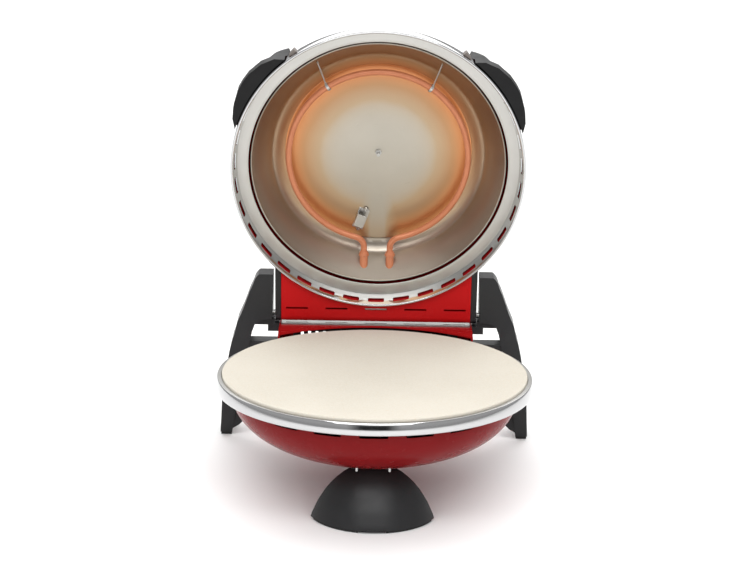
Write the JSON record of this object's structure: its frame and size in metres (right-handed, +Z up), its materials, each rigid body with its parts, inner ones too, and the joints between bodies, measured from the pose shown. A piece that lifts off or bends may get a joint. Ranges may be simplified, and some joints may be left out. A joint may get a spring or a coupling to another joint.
{
  "type": "countertop pizza oven",
  "caption": "Clamshell countertop pizza oven: red steel bowl with chrome band and baking stone, hinged red dome lid with heating loop, black side frames and front foot.",
  "frame": {"origin": "on the surface that it stands on, at the middle of the whole object's outline seen from above, lid open", "axes": "+Z up, the front faces -Y, +X to the right of someone facing the oven"},
  "size_m": [0.3368, 0.3766, 0.4618],
  "materials": {
    "red_enamel": "gloss red enamel on pressed steel",
    "chrome_band": "polished",
    "satin_steel": "satin",
    "reflector_steel": "satin, lightly spun",
    "element_glow": "sheathed tube, warm orange tint",
    "element_dark": "sheathed tube, oxidised",
    "baking_stone": "unglazed, cream",
    "black_plastic": "fine texture, satin",
    "knob_plastic": "satin gloss",
    "rubber_pad": "matt",
    "zinc_screw": "zinc plated",
    "ceramic_white": "unglazed",
    "mineral_wool": "needled mat",
    "pilot_amber": "translucent, unlit",
    "bracket_brown": "satin"
  },
  "bodies": {
    "base": {"base_shell": "red_enamel", "base_rim_ring": "chrome_band", "baking_stone": "baking_stone", "lower_reflector": "reflector_steel", "reflector_posts": "zinc_screw", "lower_heating_element": "element_dark", "lower_element_ferrules": "satin_steel", "lower_element_clips": "satin_steel", "lower_insulation_disc": "mineral_wool", "front_foot": "black_plastic", "front_foot_pads": "rubber_pad", "left_side_frame": "black_plastic", "right_side_frame": "black_plastic", "rear_foot_pads": "rubber_pad", "hinge_pins": "zinc_screw", "base_rear_housing": "red_enamel", "base_vent_plate": "satin_steel", "base_rear_cover": "black_plastic", "power_inlet": "knob_plastic", "base_terminal_block": "ceramic_white", "thermal_cutout": "ceramic_white", "foot_screws": "zinc_screw", "side_frame_screws": "zinc_screw", "rear_cover_screws": "zinc_screw"},
    "lid": {"lid_shell": "red_enamel", "lid_rim_ring": "chrome_band", "lid_flange_ring": "satin_steel", "lid_reflector": "reflector_steel", "reflector_roof": "reflector_steel", "lid_insulation_disc": "mineral_wool", "upper_heating_element": "element_glow", "upper_element_ferrules": "element_glow", "element_wire_clips": "satin_steel", "sensor_bracket": "satin_steel", "sensor_bracket_screws": "zinc_screw", "reflector_screw": "zinc_screw", "lid_rear_housing": "red_enamel", "left_lid_cheek": "black_plastic", "right_lid_cheek": "black_plastic", "cheek_screws": "zinc_screw", "lid_handle": "black_plastic", "handle_brackets": "bracket_brown", "handle_screws": "zinc_screw", "control_fascia": "knob_plastic", "thermostat": "satin_steel", "timer": "satin_steel", "pilot_lenses": "pilot_amber", "lid_terminal_block": "ceramic_white"},
    "thermostat_knob": {"thermostat_knob": "knob_plastic"},
    "timer_knob": {"timer_knob": "knob_plastic"}
  },
  "joints": [
    {"name": "lid_hinge", "type": "hinge", "parent": "base", "child": "lid", "pos_m": [0, 0.14167, 0.142], "axis": [1, 0, 0], "range_deg": [0, 80.5]},
    {"name": "thermostat_turn", "type": "hinge", "parent": "lid", "child": "thermostat_knob", "pos_m": [-0.04221, 0.16123, 0.42254], "axis": [-0.1561, 0.8328, 0.5311], "range_deg": [-270, 0]},
    {"name": "timer_turn", "type": "hinge", "parent": "lid", "child": "timer_knob", "pos_m": [0.04221, 0.16123, 0.42254], "axis": [0.1561, 0.8328, 0.5311], "range_deg": [-300, 0]}
  ]
}
